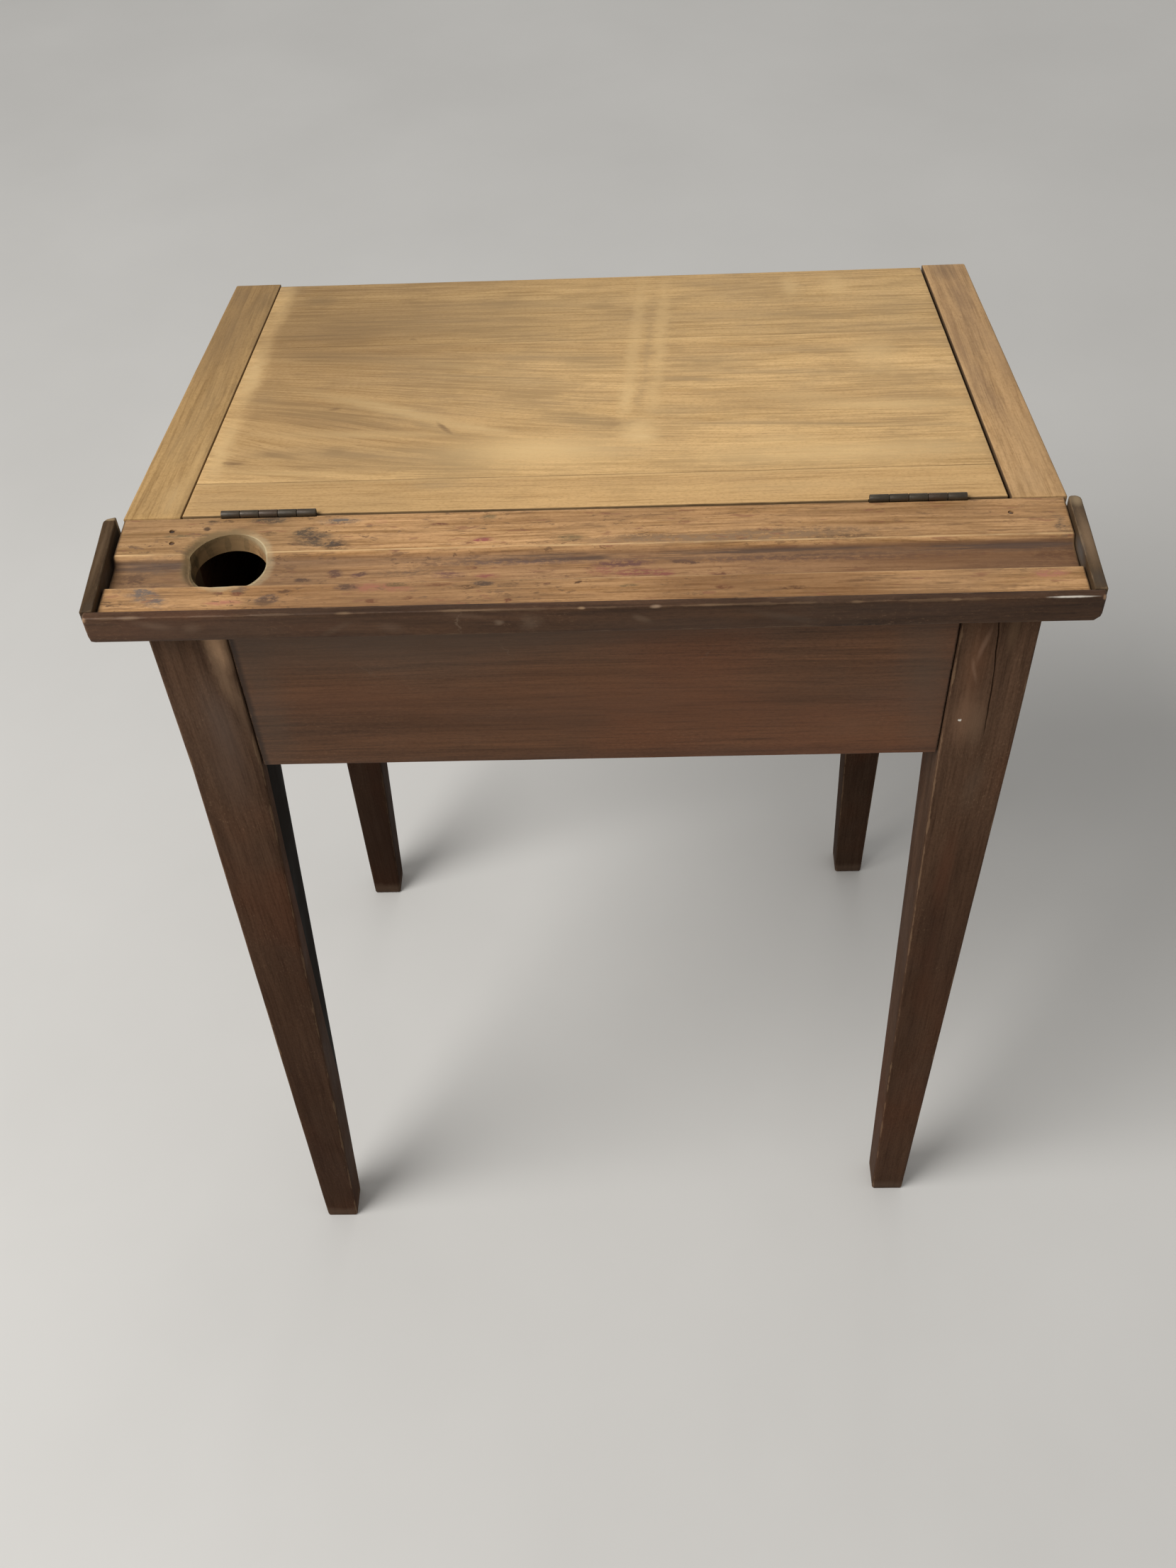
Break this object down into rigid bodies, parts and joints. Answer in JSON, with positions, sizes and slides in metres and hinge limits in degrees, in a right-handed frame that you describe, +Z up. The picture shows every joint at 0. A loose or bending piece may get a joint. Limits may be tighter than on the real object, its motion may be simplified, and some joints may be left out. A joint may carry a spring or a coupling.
{
  "type": "school desk",
  "caption": "Old wooden school desk with a hinged sloping lid, a fixed ledge with pencil groove and inkwell hole, proud dark lipping, deep aprons and tapered square legs.",
  "frame": {"origin": "centre of the bounding box, on the floor", "axes": "+Z up; -Y is the ledge side with the groove and inkwell hole, +Y is the pupil's side with the low edge of the lid; +X is to the right of someone who stands at the ledge side and looks along +Y"},
  "size_m": [0.5058, 0.3952, 0.6697],
  "materials": {
    "pale_top": "bare wood, sanded, matt, with grey-brown weathered streaks",
    "brown_top": "bare wood, sanded, matt, browner",
    "stained_leg": "dark brown stain, worn satin",
    "stained_apron": "dark reddish brown stain, satin",
    "stained_lip": "dark grey-brown stain, worn",
    "raw_softwood": "unfinished, matt",
    "iron": "old dark iron, worn",
    "fastener": "old dark steel"
  },
  "bodies": {
    "desk": {"leg_back_left": "stained_leg", "leg_back_right": "stained_leg", "leg_front_left": "stained_leg", "leg_front_right": "stained_leg", "apron_back": "stained_apron", "apron_front": "stained_apron", "apron_left": "stained_leg", "apron_right": "stained_leg", "bottom_cleat_left": "raw_softwood", "bottom_cleat_right": "raw_softwood", "bottom_board_back": "raw_softwood", "bottom_board_middle": "raw_softwood", "bottom_board_front": "raw_softwood", "ledge_board": "pale_top", "side_board_left": "pale_top", "side_board_right": "brown_top", "lip_back": "stained_lip", "lip_left": "stained_lip", "lip_right": "stained_lip", "hinge_leaf_fixed_left": "iron", "hinge_leaf_fixed_right": "iron", "hinge_pin_left": "iron", "hinge_pin_right": "iron", "hinge_screw_fixed_left_1": "fastener", "hinge_screw_fixed_left_2": "fastener", "hinge_screw_fixed_left_3": "fastener", "hinge_screw_fixed_right_1": "fastener", "hinge_screw_fixed_right_2": "fastener", "hinge_screw_fixed_right_3": "fastener", "ledge_nail_left_1": "fastener", "ledge_nail_left_2": "fastener", "ledge_nail_right_1": "fastener", "side_nail_left_1": "fastener", "side_nail_left_2": "fastener", "side_nail_left_3": "fastener", "side_nail_right_1": "fastener", "side_nail_right_2": "fastener", "side_nail_right_3": "fastener"},
    "lid": {"lid_board_back": "pale_top", "lid_board_middle": "pale_top", "lid_board_front": "pale_top", "lid_batten_left": "raw_softwood", "lid_batten_right": "raw_softwood", "lid_screw_left_1": "fastener", "lid_screw_left_2": "fastener", "lid_screw_left_3": "fastener", "lid_screw_left_4": "fastener", "lid_screw_right_1": "fastener", "lid_screw_right_2": "fastener", "lid_screw_right_3": "fastener", "lid_screw_right_4": "fastener", "hinge_leaf_moving_left": "iron", "hinge_leaf_moving_right": "iron", "hinge_screw_moving_left_1": "fastener", "hinge_screw_moving_left_2": "fastener", "hinge_screw_moving_left_3": "fastener", "hinge_screw_moving_right_1": "fastener", "hinge_screw_moving_right_2": "fastener", "hinge_screw_moving_right_3": "fastener"}
  },
  "joints": [
    {"name": "lid_hinge", "type": "hinge", "parent": "desk", "child": "lid", "pos_m": [0.00135, -0.11676, 0.6669], "axis": [1, 0, 0], "range_deg": [0, 188]}
  ]
}
